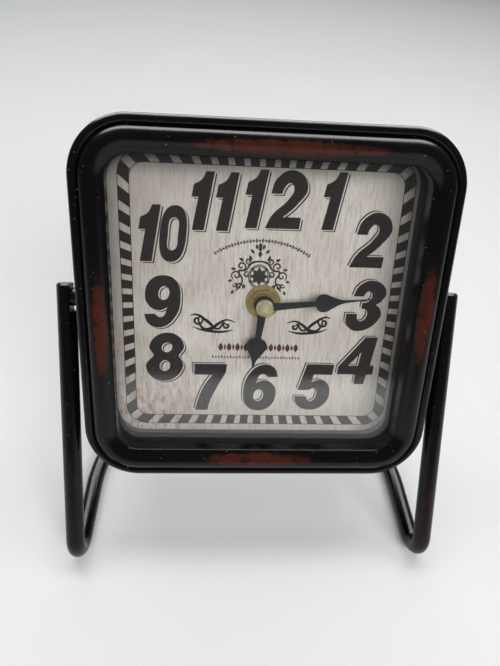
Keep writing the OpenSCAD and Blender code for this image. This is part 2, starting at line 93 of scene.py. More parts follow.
class Finish:
    """A material under construction."""

    def __init__(self, name):
        self.material = bpy.data.materials.new(name)
        self.material.use_nodes = True
        self.tree = self.material.node_tree
        self.tree.nodes.clear()

    def add(self, kind, settings=None, values=None, out=0):
        node = self.tree.nodes.new("ShaderNode" + kind)
        for key, value in (settings or {}).items():
            setattr(node, key, value)
        for key, value in (values or {}).items():
            if isinstance(value, Signal):
                self.tree.links.new(value.socket, node.inputs[key])
            else:
                node.inputs[key].default_value = value
        return Signal(self, node.outputs[out]) if node.outputs else None

    def place(self, stretch=(1, 1, 1), middle=(0, 0, 0), turned=0):
        """Millimetres from the middle, on axes turned about X, divided by the stretch."""
        where = self.add("TexCoord", out=3)
        scale = [mm * s for s in stretch]
        return self.add("Mapping", {"vector_type": "TEXTURE"},
                        {"Vector": where, "Location": middle, "Rotation": (turned, 0, 0), "Scale": scale})

    def on_face(self, stretch=(1, 1, 1)):
        """The same, on the axes of the dial: x right, y up and z out."""
        return self.place(stretch, dial_centre, dial_turn)

    def axes(self, where):
        node = self.tree.nodes.new("ShaderNodeSeparateXYZ")
        self.tree.links.new(where.socket, node.inputs[0])
        return [Signal(self, socket) for socket in node.outputs]

    def noise(self, where, scale, detail=3, rough=0.5):
        return self.add("TexNoise", None,
                        {"Vector": where, "Scale": scale, "Detail": detail, "Roughness": rough})

    def step(self, value, low, high):
        return self.add("MapRange", {"interpolation_type": "SMOOTHSTEP"}, {0: value, 1: low, 2: high})

    def blend(self, factor, first, second):
        first, second = ((*c, 1) if isinstance(c, tuple) else c for c in (first, second))
        return self.add("Mix", {"data_type": "RGBA"}, {0: factor, 6: first, 7: second}, out=2)

    def bump(self, height, distance, strength):
        return self.add("Bump", None, {"Height": height, "Distance": distance * mm, "Strength": strength})

    def surface(self, values):
        values = {k: (*v, 1) if isinstance(v, tuple) else v for k, v in values.items()}
        return self.output(self.add("BsdfPrincipled", None, values))

    def output(self, shader):
        self.add("OutputMaterial", None, {"Surface": shader})
        return self.material


def enamel(name, rub, rough=0.26):
    """Black satin enamel over a red-brown primer; rub is a function that says where it is worn through."""
    made = Finish(name)
    here = made.place()
    mottle = made.noise(here, 0.05, 4)
    grain = made.noise(here, 1.4, 3, 0.6)
    specks = made.step(made.noise(here, 0.9, 2, 0.4), 0.735, 0.76)
    worn = rub(made)
    black = made.blend(mottle, (0.0009, 0.001, 0.0014), (0.003, 0.0027, 0.003))
    primer = made.blend(grain, (0.066, 0.0115, 0.0045), (0.028, 0.0065, 0.0035))
    colour = made.blend(worn, black, primer)
    colour = made.blend(specks * 0.7, colour, (0.16, 0.14, 0.12))
    sheen = rough + (mottle - 0.5) * 0.16 + (grain - 0.5) * 0.08 + worn * 0.12
    height = grain * 0.6 + made.noise(here, 0.22, 2) - worn * 0.5
    return made.surface({"Base Color": colour, "Roughness": sheen, "Specular IOR Level": 0.24,
                         "Normal": made.bump(height, 0.06, 0.55)})


def rub_on_rod(made):
    """Faint wear low on the uprights and along the loop."""
    here = made.place((5, 5, 16))
    z = made.axes(made.place())[2]
    low = made.step(z, 5, 22) * (1 - made.step(z, 30, 62))
    return made.step(made.noise(here, 1, 3, 0.5) + low * 0.1, 0.55, 0.9) * 0.3


def settle(name, place=Matrix.Scale(mm, 4), smooth=35):
    """Leaves edit mode, names the piece and moves its mesh to its place in metres."""
    bpy.ops.object.mode_set(mode="OBJECT")
    piece = bpy.context.object
    piece.name = piece.data.name = name
    piece.data.transform(place @ piece.matrix_world)
    piece.matrix_world = Matrix.Identity(4)
    if smooth:
        bpy.ops.object.shade_smooth_by_angle(angle=math.radians(smooth))
    return piece


def dress(piece, material, body, slot, *nodes):
    """Gives a piece its material, the body it rides on and the CAD nodes it stands for."""
    piece.data.materials.clear()
    piece.data.materials.append(material)
    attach(piece, body)
    if nodes:
        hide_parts(*nodes)
    bpy.ops.object.select_all(action="DESELECT")


def pull(x, y, z):
    bpy.ops.mesh.extrude_region_move(TRANSFORM_OT_translate={"value": (x, y, z)})


def swing(steps, degrees, centre, axis):
    """Extrudes what is selected round an axis, by the right-hand rule."""
    bpy.ops.mesh.spin(steps=steps, angle=-math.radians(degrees), center=centre, axis=axis)


def pick_faces(test):
    """Leaves only the faces that pass the test selected, in edit mode."""
    bpy.ops.mesh.select_mode(type="FACE")
    bpy.ops.mesh.select_all(action="DESELECT")
    bpy.ops.object.mode_set(mode="OBJECT")
    for face in bpy.context.object.data.polygons:
        face.select = test(face)
    bpy.ops.object.mode_set(mode="EDIT")


def close_up(holes=False):
    """Welds the mesh being edited, closes its open ends if asked, and turns its faces outwards."""
    bpy.ops.mesh.select_all(action="SELECT")
    bpy.ops.mesh.remove_doubles(threshold=weld)
    if holes:
        bpy.ops.mesh.fill_holes(sides=0)
    bpy.ops.mesh.select_all(action="SELECT")
    bpy.ops.mesh.normals_make_consistent(inside=False)


weld = 0.01
rod_r = 3.9
rod_sides = 40
rod_lean = math.radians(30.5)
upright_run = 108
rod_tip = 5.5
tip_chamfer = 0.7
foot_bend_r = 9
foot_steps = 22
floor_run = 26
loop_steps = 72
flat_depth = 2
flat_over = 0.1
rod_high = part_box("stand_rod")[1]
rod_x = rod_high.x / mm - rod_r
up_rod = Vector((0, math.sin(rod_lean), math.cos(rod_lean)))
pivot_mm = pivot / mm
rod_end = pivot_mm + up_rod * (rod_tip - tip_chamfer)
foot = pivot_mm - up_rod * upright_run
bend_y = foot.y + foot_bend_r * math.cos(rod_lean)
bend_z = foot.z - foot_bend_r * math.sin(rod_lean)

bpy.ops.object.select_all(action="DESELECT")
bpy.ops.mesh.primitive_circle_add(vertices=rod_sides, radius=rod_r, rotation=(-rod_lean, 0, 0),
                                  location=(rod_x, rod_end.y, rod_end.z))
bpy.ops.object.transform_apply()
bpy.ops.object.mode_set(mode="EDIT")
upright = up_rod * (upright_run + rod_tip - tip_chamfer)
pull(*-upright)
swing(foot_steps, 90 + math.degrees(rod_lean), (rod_x, bend_y, bend_z), (1, 0, 0))
pull(0, floor_run, 0)
swing(loop_steps, 180, (0, bend_y + floor_run, 0), (0, 0, 1))
pull(0, -floor_run, 0)
swing(foot_steps, 90 + math.degrees(rod_lean), (-rod_x, bend_y, bend_z), (-1, 0, 0))
pull(*upright)
close_up(holes=True)
pick_faces(lambda face: len(face.vertices) > 4)
bpy.ops.mesh.inset(thickness=tip_chamfer, depth=tip_chamfer, use_individual=True)
rod = settle("bent_rod")
for side in (-1, 1):
    block_x = side * (rod_x - rod_r + flat_depth - rod_r) * mm
    bpy.ops.mesh.primitive_cube_add(size=1, location=(block_x, pivot.y, pivot.z), rotation=(-rod_lean, 0, 0))
    block = bpy.context.object
    block.scale = (2 * rod_r * mm, 4 * rod_r * mm, 2 * (rod_tip + flat_over) * mm)
    bpy.context.view_layer.objects.active = rod
    cut = rod.modifiers.new("flat", "BOOLEAN")
    cut.object = block
    bpy.ops.object.modifier_apply(modifier=cut.name)
    bpy.data.objects.remove(block)
rod.select_set(True)
bpy.ops.object.shade_smooth_by_angle(angle=math.radians(30))
dress(rod, enamel("rod enamel", rub_on_rod), "root", "black_enamel", "stand_rod")


# ---- The pivots ----
# On each side a plated screw goes through the drum from inside, with a nylon bush, a spring washer
# and a spacing sleeve, and bites into the flat of the rod. Its friction holds the case where it is set.
def refined(node, name, edge=0.12):
    """A copy of a CAD node with its triangles merged, flat faces whole and edges rounded."""
    bpy.ops.object.select_all(action="DESELECT")
    piece = frame["nodes"][node].copy()
    piece.data = piece.data.copy()
    piece.name = piece.data.name = name
    for key in [key for key in piece.keys() if key.startswith("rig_")]:
        del piece[key]
    piece.parent = None
    bpy.context.scene.collection.objects.link(piece)
    bpy.context.view_layer.objects.active = piece
    piece.select_set(True)
    bpy.ops.mesh.customdata_custom_splitnormals_clear()
    bpy.ops.object.mode_set(mode="EDIT")
    bpy.ops.mesh.select_all(action="SELECT")
    bpy.ops.mesh.remove_doubles(threshold=0.002 * mm)
    if edge:
        bpy.ops.mesh.dissolve_limited(angle_limit=math.radians(0.4))
    bpy.ops.object.mode_set(mode="OBJECT")
    if edge:
        bevel = piece.modifiers.new("edge", "BEVEL")
        bevel.width = edge * mm
        bevel.segments = 2
        bevel.limit_method = "ANGLE"
        bevel.angle_limit = math.radians(38)
        bpy.ops.object.modifier_apply(modifier=bevel.name)
    bpy.ops.object.shade_smooth_by_angle(angle=math.radians(32))
    return piece


def metal(name, light, dark, rough, shine=1.0):
    """Bare or plated metal: fine turning marks, small stains and an uneven shine."""
    made = Finish(name)
    here = made.place()
    stain = made.noise(here, 0.5, 4, 0.6)
    marks = made.noise(made.place((0.15, 4, 0.15)), 1, 2)
    colour = made.blend(made.step(stain, 0.35, 0.7), light, dark)
    return made.surface({"Base Color": colour, "Metallic": shine,
                         "Roughness": rough + (stain - 0.5) * 0.25 + (marks - 0.5) * 0.1,
                         "Normal": made.bump(marks + stain * 0.5, 0.02, 0.4)})


def plastic(name, light, dark, rough):
    """Moulded plastic: a spark-eroded grain and slightly uneven colour."""
    made = Finish(name)
    here = made.place()
    shade = made.noise(here, 0.12, 3)
    pits = made.noise(here, 1.6, 2, 0.7)
    return made.surface({"Base Color": made.blend(shade, light, dark),
                         "Roughness": rough + (pits - 0.5) * 0.2,
                         "Normal": made.bump(pits, 0.03, 0.6)})


steel = metal("zinc plated steel", (0.60, 0.59, 0.56), (0.42, 0.40, 0.37), 0.3)
spring_steel = metal("spring steel", (0.42, 0.42, 0.42), (0.27, 0.26, 0.25), 0.34)
nylon = plastic("natural nylon", (0.72, 0.68, 0.58), (0.64, 0.60, 0.50), 0.42)
white_gear = plastic("white acetal", (0.80, 0.78, 0.72), (0.72, 0.70, 0.64), 0.35)


def rub_none(made):
    """Hardly any wear: a few dull patches."""
    return made.step(made.noise(made.place((9, 9, 9)), 1, 3), 0.68, 0.8) * 0.3


plain_enamel = enamel("plain enamel", rub_none)
dress(refined("pivot_screws", "slotted_pivot_screws"), steel, "root", "plated_steel", "pivot_screws")
dress(refined("spring_washers", "sprung_washers", 0.06), spring_steel, "root", "plated_steel",
      "spring_washers")
dress(refined("pivot_sleeves", "black_sleeves", 0.25), plain_enamel, "root", "black_enamel",
      "pivot_sleeves")
dress(refined("pivot_bushes", "flanged_bushes", 0.1), nylon, "case", "nylon", "pivot_bushes")


# ---- The drum ----
# The side wall of the case: steel strip rolled round a rounded square, butt welded, with a flange
# turned in at the rear for the back plate. Black enamel inside and out.
face_up = Matrix.Translation(dial_centre) @ Matrix.Rotation(dial_turn, 4, "X") @ Matrix.Scale(mm, 4)
case_half = 72
corner_k = 50
case_drop = 0.4
case_middle = Vector((-dial_centre.x / mm, -case_drop, 0))
on_case = face_up @ Matrix.Translation(case_middle)
corner_steps = 22


def point_at(x, y, z):
    """One loose vertex, in edit mode."""
    bpy.ops.object.select_all(action="DESELECT")
    bpy.ops.mesh.primitive_plane_add(size=0.001)
    bpy.ops.object.mode_set(mode="EDIT")
    bpy.ops.mesh.select_mode(type="VERT")
    bpy.ops.mesh.merge(type="CENTER")
    bpy.ops.transform.translate(value=(x, y, z))


def trace(start, moves):
    """Draws a profile at the foot of the right-hand side: straight moves (x, z) and arcs
    (x, z of the centre, degrees, steps), which turn from x towards z."""
    point_at(start[0], -corner_k, start[1])
    for move in moves:
        if len(move) == 2:
            pull(move[0], 0, move[1])
        else:
            swing(move[3], move[2], (move[0], -corner_k, move[1]), (0, -1, 0))
    bpy.ops.mesh.select_all(action="SELECT")


def run_round():
    """Takes a profile up the side, round the corner and so on, four times."""
    bpy.ops.mesh.select_all(action="SELECT")
    k = corner_k
    sides = (((0, 2 * k), (k, k)), ((-2 * k, 0), (-k, k)), ((0, -2 * k), (-k, -k)), ((2 * k, 0), (k, -k)))
    for run, centre in sides:
        pull(*run, 0)
        swing(corner_steps, 90, (*centre, 0), (0, 0, 1))
    close_up()


def thicken(piece, wall):
    """Gives a sheet its thickness, inwards from its faces."""
    sheet = piece.modifiers.new("wall", "SOLIDIFY")
    sheet.thickness = wall * mm
    sheet.offset = -1
    sheet.use_even_offset = True
    bpy.ops.object.modifier_apply(modifier=sheet.name)
    bpy.ops.object.shade_smooth_by_angle(angle=math.radians(35))


drum_half = 69.5
drum_wall = 1
drum_front = 19.4
drum_back = 20
rear_r = 1.5
rear_steps = 6
flange_w = 5

trace((drum_half, drum_front), [
    (0, -drum_front - drum_back + rear_r),
    (drum_half - rear_r, -drum_back + rear_r, -90, rear_steps),
    (rear_r - flange_w, 0)])
run_round()
drum = settle("rolled_drum", on_case)
thicken(drum, drum_wall)
dress(drum, plain_enamel, "case", "black_enamel", "case_drum")
bracket_steel = metal("bracket steel", (0.45, 0.44, 0.41), (0.33, 0.31, 0.29), 0.38)
dress(refined("board_brackets", "angle_brackets", 0.1), bracket_steel, "case", "plated_steel",
      "board_brackets")


# ---- The bezel ----
# A pressed steel frame that slips over the drum: an outer bead, a fat half-round roll and a lip that
# dips to the glass. The enamel is rubbed to red-brown primer on the inner slope of each side.
bead_r = 2
bead_steps = 14
groove_up = 30
bead_out = 20.2
roll_r = 4.3
roll_rise = 0.4
roll_spread = 0.3
roll_end = 140
roll_steps = 24
lip_inset = 13.2
lip_out = 22.4
glass_front = 17.5
hem_half = 69.55
hem_back = 15.2
hem_corner = 0.5
nose = 0.25
bezel_wall = 0.8
rub_inset = 9.3
rub_half = 3.6


def rub_on_bezel(made):
    """Feathered rub-through near the middle of each side, from the crest of the roll to the lip."""
    x, y, z = made.axes(made.on_face())
    x = x + dial_centre.x / mm
    y = y + case_drop

    def rubbed(inset, along, middle, half):
        across = (inset - rub_inset) / rub_half
        length = (along - middle) / half
        return 1 - made.step(across * across + length * length, 0.12, 1.05)

    sides = rubbed(case_half + x, y, -5, 27) + rubbed(case_half - x, y, 4, 26) + \
        rubbed(case_half - y, x, 6, 44) + rubbed(case_half + y, x, -1, 30)
    streaks = made.noise(made.on_face((5, 5, 5)), 1, 6, 0.7)
    fine = made.noise(made.on_face((1.1, 1.1, 1.1)), 1, 3, 0.7)
    feather = made.step(sides * 0.9 + (streaks - 0.5) * 2.2 + (fine - 0.5) * 0.7, 0.1, 1.15)
    patch = feather * made.step(sides, 0, 0.7)
    reach = made.noise(made.on_face((12, 12, 12)), 1, 4, 0.6)
    bare = made.step(reach, 0.6, 0.78) * made.step(z, 8, 20) * 0.25
    return made.add("Math", {"operation": "MAXIMUM", "use_clamp": True}, {0: patch, 1: bare})


groove = math.radians(groove_up)
roll_x = case_half - 2 * bead_r - roll_r + roll_spread
roll_start = (roll_x + roll_r * math.cos(groove), bead_out + roll_rise + roll_r * math.sin(groove))
bead_stop = (case_half - bead_r - bead_r * math.cos(groove), bead_out + bead_r * math.sin(groove))
roll_stop = (roll_x + roll_r * math.cos(math.radians(roll_end)),
             bead_out + roll_rise + roll_r * math.sin(math.radians(roll_end)))
lip = case_half - lip_inset
trace((hem_half, hem_back), [
    (case_half - hem_corner - hem_half, 0), (hem_corner, hem_corner),
    (0, bead_out - hem_back - hem_corner),
    (case_half - bead_r, bead_out, 180 - groove_up, bead_steps),
    (roll_start[0] - bead_stop[0], roll_start[1] - bead_stop[1]),
    (roll_x, bead_out + roll_rise, roll_end - groove_up, roll_steps),
    (0.55 * (lip - roll_stop[0]), 0.75 * (lip_out - roll_stop[1])),
    (0.45 * (lip - roll_stop[0]) + nose, 0.25 * (lip_out - roll_stop[1]) + 0.1),
    (-nose, -nose - 0.1), (0, glass_front - lip_out + nose)])
run_round()
bezel = settle("pressed_bezel", on_case)
thicken(bezel, bezel_wall)
dress(bezel, enamel("bezel enamel", rub_on_bezel, 0.22), "case", "black_enamel", "bezel")


# ---- The glass and the spacer ----
# Plain 2 mm float glass, held between the lip and a frame of grey board that stands on the dial.
def clear_glass():
    """Float glass that mirrors at its surface, with a faint film of dust."""
    made = Finish("float glass")
    film = made.noise(made.on_face((30, 30, 30)), 1, 4, 0.6)
    smear = made.noise(made.on_face((3, 14, 8)), 1, 3, 0.6)
    mirror = made.add("BsdfGlossy", None, {"Color": (1, 1, 1, 1), "Roughness": 0.02})
    through = made.add("BsdfTransparent", None, {"Color": (0.965, 0.975, 0.97, 1)})
    dust = made.add("BsdfDiffuse", None, {"Color": (0.75, 0.76, 0.77, 1)})
    fresnel = made.add("Fresnel", None, {"IOR": 1.52})
    lit = made.add("MixShader", None, {0: fresnel, 1: through, 2: mirror})
    veil = 0.001 + film * 0.004 + smear * 0.004
    return made.output(made.add("MixShader", None, {0: veil, 1: lit, 2: dust}))


def board(name, light, dark):
    """Pressed board: short fibres and specks in a matt, slightly rough face."""
    made = Finish(name)
    here = made.place()
    fibres = made.noise(made.place((0.4, 3, 0.4)), 1, 3, 0.7)
    cloud = made.noise(here, 0.08, 3)
    specks = made.step(made.noise(here, 2.2, 1), 0.68, 0.74)
    colour = made.blend(cloud * 0.5 + fibres * 0.5, light, dark)
    colour = made.blend(specks * 0.5, colour, tuple(0.5 * c for c in dark))
    return made.surface({"Base Color": colour, "Roughness": 0.85, "Normal": made.bump(fibres, 0.08, 0.5)})


frame["nodes"]["glass"].data.materials.clear()
frame["nodes"]["glass"].data.materials.append(clear_glass())
grey_board = board("grey board", (0.034, 0.035, 0.037), (0.02, 0.02, 0.021))
dress(refined("spacer_frame", "board_spacer", 0), grey_board, "case", "grey_card", "spacer_frame")


# ---- The dial card ----
# Printed paper on card. The print is an aged wood grain in warm greys, with pink and brown stains,
# edges darkened partly by age and partly by painted shade under the bezel, a painted shadow of the bezel in
# the upper left corner, and everything else on the dial printed over it.
def old_paper():
    """Grain printed across the dial, pinkish stains, brown blots towards the edges, and painted shade at the
    rim and the upper left corner.
    """
    made = Finish("printed paper")
    grain = made.noise(made.on_face((0.9, 11, 4)), 1, 5, 0.62)
    fine = made.noise(made.on_face((0.28, 3.2, 4)), 1, 3, 0.7)
    cloud = made.noise(made.on_face((26, 30, 20)), 1, 3)
    stain = made.noise(made.on_face((13, 18, 20)), 1, 4, 0.6)
    x, y = made.axes(made.on_face())[:2]
    rim = made.step(x.math("ABSOLUTE").math("MAXIMUM", y.math("ABSOLUTE")), 34, 62)
    colour = made.blend(made.step(cloud, 0.3, 0.7), (0.88, 0.80, 0.745), (0.76, 0.68, 0.63))
    colour = made.blend(made.step(grain, 0.46, 0.72) * 0.75, colour, (0.52, 0.42, 0.375))
    colour = made.blend(made.step(grain, 0.5, 0.3) * 0.5, colour, (0.93, 0.88, 0.84))
    colour = made.blend(made.step(fine, 0.5, 0.74) * 0.6, colour, (0.42, 0.34, 0.31))
    # Painted shade in the dark colour below: darker towards the rim, partly ageing of the paper and partly
    # shade under the bezel lip, and a painted shadow of the bezel towards the upper left corner
    aging_and_painted_shade = rim * 0.34 + made.step(y - x, 40, 104) * 0.3
    colour = made.blend(aging_and_painted_shade, colour, (0.36, 0.305, 0.27))
    pinkish = made.step(stain, 0.5, 0.7) * (0.35 + rim * 0.5)
    colour = made.blend(pinkish * 0.55, colour, (0.60, 0.40, 0.35))
    lower_left = made.step(x * -1, 12, 46) * made.step(y * -1, 22, 50)
    blot = made.step(made.noise(made.on_face((2.2, 7, 9)), 1, 5, 0.75), 0.4, 0.66)
    colour = made.blend(lower_left * blot * 0.9, colour, (0.30, 0.17, 0.125))
    return made.surface({"Base Color": colour, "Roughness": 0.62 + (fine - 0.5) * 0.2,
                         "Specular IOR Level": 0.35, "Normal": made.bump(fine, 0.02, 0.3)})


def ink(name, colour, worn):
    """Printing ink, a little thin where the grain of the print shows through."""
    made = Finish(name)
    streak = made.noise(made.on_face((0.6, 7, 4)), 1, 4, 0.65)
    cloud = made.noise(made.on_face((9, 12, 9)), 1, 3, 0.6)
    thin = made.step(streak * 0.5 + cloud * 0.5, 0.48, 0.72) * worn
    lighter = tuple(min(1, 3.2 * c + 0.02) for c in colour)
    return made.surface({"Base Color": made.blend(thin, colour, lighter), "Roughness": 0.5,
                         "Specular IOR Level": 0.5, "Normal": made.bump(streak, 0.015, 0.3)})


paper = old_paper()
frame["nodes"]["dial_card"].data.materials.clear()
frame["nodes"]["dial_card"].data.materials.append(paper)
black_ink = ink("black ink", (0.015, 0.0085, 0.0075), 0.35)
brown_ink = ink("brown ink", (0.045, 0.035, 0.034), 0.5)
grey_ink = ink("grey ink", (0.12, 0.105, 0.105), 0.6)
red_ink = ink("red ink", (0.105, 0.028, 0.028), 0.5)


# ---- The minute track ----
# Sixty black bars between two thin lines, cut from a rounded square by rays from the hands' centre,
# so that they lean more and grow longer towards the corners.
track_outer = 59.5
track_inner = 55
track_r = 9.5
track_inner_r = 6
line_w = 0.3
bar_share = 0.6
half_bar = 3 * bar_share
ink_low = 0.02
ink_t = 0.03


def rounded_square(half, radius):
    """A flat face just over the card, in the shape of a rounded square, in edit mode."""
    bpy.ops.object.select_all(action="DESELECT")
    bpy.ops.mesh.primitive_plane_add(size=2 * half, location=(0, 0, ink_low))
    bpy.ops.object.mode_set(mode="EDIT")
    bpy.ops.mesh.select_mode(type="VERT")
    bpy.ops.mesh.bevel(offset=radius, offset_type="OFFSET", segments=16, affect="VERTICES")
    bpy.ops.mesh.select_all(action="SELECT")


def ring_band(outer, radius, width):
    """A flat band of print along a rounded square."""
    rounded_square(outer, radius)
    bpy.ops.mesh.inset(thickness=width)
    bpy.ops.mesh.delete(type="FACE")
    bpy.ops.mesh.select_all(action="SELECT")


def join(pieces, name):
    """Makes one piece of several."""
    bpy.ops.object.select_all(action="DESELECT")
    for piece in pieces:
        piece.select_set(True)
    bpy.context.view_layer.objects.active = pieces[0]
    bpy.ops.object.join()
    pieces[0].name = pieces[0].data.name = name
    return pieces[0]


def printed(piece):
    """Gives flat print a little thickness, so that it is a closed sheet of ink."""
    bpy.context.view_layer.objects.active = piece
    piece.select_set(True)
    layer = piece.modifiers.new("ink", "SOLIDIFY")
    layer.thickness = ink_t * mm
    layer.offset = 1
    bpy.ops.object.modifier_apply(modifier=layer.name)
    return piece


ring_band(track_outer, track_r, track_outer - track_inner)
for bar in range(30):
    for edge in (-1, 1):
        angle = math.radians(6 * bar + half_bar * edge)
        bpy.ops.mesh.select_all(action="SELECT")
        bpy.ops.mesh.bisect(plane_co=(0, 0, 0), plane_no=(math.cos(angle), -math.sin(angle), 0))
pick_faces(lambda face: half_bar < math.degrees(math.atan2(face.center.x, face.center.y)) % 6 < 6 - half_bar)
bpy.ops.mesh.delete(type="FACE")
bars = settle("track_bars", face_up, 0)
ring_band(track_outer + line_w / 2, track_r, line_w)
outer_line = settle("track_outer_line", face_up, 0)
ring_band(track_inner + line_w / 2, track_inner_r, line_w)
inner_line = settle("track_inner_line", face_up, 0)
dress(printed(join([bars, outer_line, inner_line], "minute_track")), black_ink, "case", "dial_paper")


# ---- The numerals ----
# Heavy slanted figures in black, each with a thin line beyond a bare gap, as if it cast a shadow.
# The shadow falls to the lower right on one half of the dial and to the upper left on the other.
def corners(*points):
    """Points where an outline turns sharply."""
    return [(x, y, True) for x, y in points]


def bends(*points):
    """Points that an outline runs smoothly through."""
    return [(x, y, False) for x, y in points]


NINE = corners((-0.03, 0.255), (0.165, 0.265)) + bends((0.215, 0.215), (0.31, 0.21)) + \
    corners((0.385, 0.39)) + \
    bends((0.22, 0.335), (0.02, 0.45), (-0.045, 0.66), (0.04, 0.91), (0.27, 1), (0.5, 0.9), (0.605, 0.62),
          (0.54, 0.2), (0.3, 0), (0.06, 0.07))
FIGURES = {
    "0": [bends((0.235, 0), (0.47, 0.5), (0.235, 1), (0, 0.5)), ("hole", 0.235, 0.5, 0.088, 0.29)],
    "1": [corners((-0.04, 0), (0.17, 0), (0.25, 1), (0.105, 1)) + bends((0.04, 0.86)) +
          corners((-0.085, 0.783), (-0.105, 0.57), (0.015, 0.57))],
    "2": [corners((0, 0), (0.61, 0), (0.61, 0.205), (0.29, 0.205)) +
          bends((0.5, 0.42), (0.645, 0.74), (0.36, 1), (0.09, 0.86)) + corners((0.02, 0.6), (0.215, 0.6)) +
          bends((0.25, 0.72), (0.325, 0.785), (0.41, 0.7), (0.34, 0.51), (0.09, 0.23))],
    "3": [corners((0.04, 0.69)) + bends((0.11, 0.89), (0.36, 1), (0.645, 0.79), (0.59, 0.6)) +
          corners((0.5, 0.53)) + bends((0.6, 0.45), (0.635, 0.29), (0.28, 0), (0.02, 0.12)) +
          corners((-0.03, 0.345), (0.18, 0.345)) +
          bends((0.205, 0.24), (0.285, 0.2), (0.375, 0.32), (0.33, 0.43)) +
          corners((0.235, 0.455), (0.235, 0.565)) +
          bends((0.34, 0.59), (0.395, 0.7), (0.33, 0.79), (0.265, 0.76)) + corners((0.24, 0.69))],
    "4": [corners((0.333, 0), (0.533, 0), (0.547, 0.21), (0.669, 0.21), (0.664, 0.4), (0.58, 0.4), (0.61, 1),
          (0.367, 1), (-0.05, 0.37), (-0.04, 0.21), (0.324, 0.21)),
          corners((0.15, 0.4), (0.34, 0.4), (0.35, 0.68))],
    "5": [corners((0.1, 1), (0.64, 1), (0.635, 0.78), (0.27, 0.78), (0.25, 0.62)) +
          bends((0.45, 0.67), (0.65, 0.42), (0.56, 0.1), (0.32, 0), (0.03, 0.12)) +
          corners((-0.04, 0.3), (0.2, 0.3)) + bends((0.23, 0.225), (0.3, 0.19), (0.395, 0.37), (0.32, 0.48)) +
          corners((0.225, 0.44), (0, 0.44))],
    "6": [[(0.56 - x, 1 - y, sharp) for x, y, sharp in NINE], ("hole", 0.263, 0.336, 0.1, 0.13)],
    "7": [corners((-0.1, 1), (0.53, 1), (0.53, 0.83)) + bends((0.40, 0.52), (0.29, 0.2)) +
          corners((0.26, 0), (0.02, 0)) + bends((0.06, 0.28), (0.15, 0.56)) +
          corners((0.27, 0.77), (-0.08, 0.77))],
    "8": [bends((0.31, 1), (0.65, 0.75)) + corners((0.57, 0.535)) +
          bends((0.675, 0.3), (0.35, 0), (-0.03, 0.29)) + corners((0.1, 0.535)) + bends((0, 0.74)),
          ("hole", 0.332, 0.7, 0.1, 0.1), ("hole", 0.327, 0.32, 0.1, 0.115)],
    "9": [NINE, ("hole", 0.297, 0.664, 0.1, 0.13)],
}
figure_h = 23
slant = 0.1
shadow_shift = Vector((0.95, -0.75, 0))
layer_up = 1.3 * ink_t
# Each figure's place: its lower left on the dial, and the side its shadow falls to
PLACES = [("1", -50.8, 16.1, 1), ("0", -44.6, 16.1, 1), ("1", -29.6, 29.5, 1), ("1", -19.9, 29.5, 1),
          ("1", -8.2, 31.0, 1), ("2", -0.9, 31.2, 1), ("1", 23.3, 31.3, 1), ("2", 35.6, 16.1, -1),
          ("3", 36.6, -12.4, -1), ("4", 36.0, -38.3, -1), ("5", 17.0, -51.8, -1), ("6", -6.7, -52.4, -1),
          ("7", -29.0, -52.4, -1), ("8", -50.3, -38.0, 1), ("9", -50.4, -12.6, 1)]


def as_mesh(curve):
    """Turns a curve into a mesh, and leaves it selected and active."""
    shape = bpy.data.objects.new("outline", curve)
    bpy.context.scene.collection.objects.link(shape)
    bpy.ops.object.select_all(action="DESELECT")
    bpy.context.view_layer.objects.active = shape
    shape.select_set(True)
    bpy.ops.object.convert(target="MESH")
    return bpy.context.object


def flat_outline(outlines, height, resolution=10):
    """A filled flat shape in edit mode from closed outlines of (x, y, sharp) points; a hole is an ellipse."""
    curve = bpy.data.curves.new("outline", "CURVE")
    curve.dimensions = "2D"
    curve.fill_mode = "BOTH"
    curve.resolution_u = resolution
    for outline in outlines:
        if outline[0] == "hole":
            cx, cy, rx, ry = outline[1:]
            outline = bends((cx + rx, cy), (cx, cy + ry), (cx - rx, cy), (cx, cy - ry))
        spline = curve.splines.new("BEZIER")
        spline.bezier_points.add(len(outline) - 1)
        spline.use_cyclic_u = True
        for knot, (x, y, sharp) in zip(spline.bezier_points, outline):
            knot.co = (x, y, 0)
            knot.handle_left_type = knot.handle_right_type = "VECTOR" if sharp else "AUTO"
    shape = as_mesh(curve)
    shape.data.transform(Matrix.Translation((0, 0, height)))
    return shape


layers = {"numeral_shadows": [], "numeral_gaps": [], "numerals": []}
shares = (("numeral_shadows", 1.0), ("numeral_gaps", 0.5), ("numerals", 0.0))
for figure, left, foot_v, side in PLACES:
    lean = Matrix(((figure_h, slant * figure_h, 0, left), (0, figure_h, 0, foot_v),
                   (0, 0, 1, 0), (0, 0, 0, 1)))
    for layer, (name, share) in enumerate(shares):
        shape = flat_outline(FIGURES[figure], 0)
        shift = Matrix.Translation(shadow_shift * side * share + Vector((0, 0, ink_low + layer_up * layer)))
        shape.data.transform(face_up @ shift @ lean)
        layers[name].append(shape)
for name, shapes in layers.items():
    dress(printed(join(shapes, name)), paper if name == "numeral_gaps" else black_ink, "case", "dial_paper")


# ---- The printed ornaments ----
# A leafy spray above the centre, an arc of beads over it, a penned flourish on each side of the hands
# and two rows of small marks below, in brown, grey and red.
def stroke(points, width, cyclic=False):
    """A pen line of round section through the points, pressed flat."""
    curve = bpy.data.curves.new("stroke", "CURVE")
    curve.dimensions = "3D"
    curve.resolution_u = 6
    curve.bevel_depth = width / 2
    curve.bevel_resolution = 0
    curve.use_fill_caps = True
    spline = curve.splines.new("BEZIER")
    spline.bezier_points.add(len(points) - 1)
    spline.use_cyclic_u = cyclic
    for knot, point in zip(spline.bezier_points, points):
        knot.co = (point[0], point[1], 0)
        knot.radius = point[2] if len(point) > 2 else 1
        knot.handle_left_type = knot.handle_right_type = "AUTO"
    shape = as_mesh(curve)
    press = Matrix.Diagonal((1, 1, ink_t / width, 1))
    shape.data.transform(face_up @ Matrix.Translation((0, 0, ink_low + ink_t / 2)) @ press)
    return shape


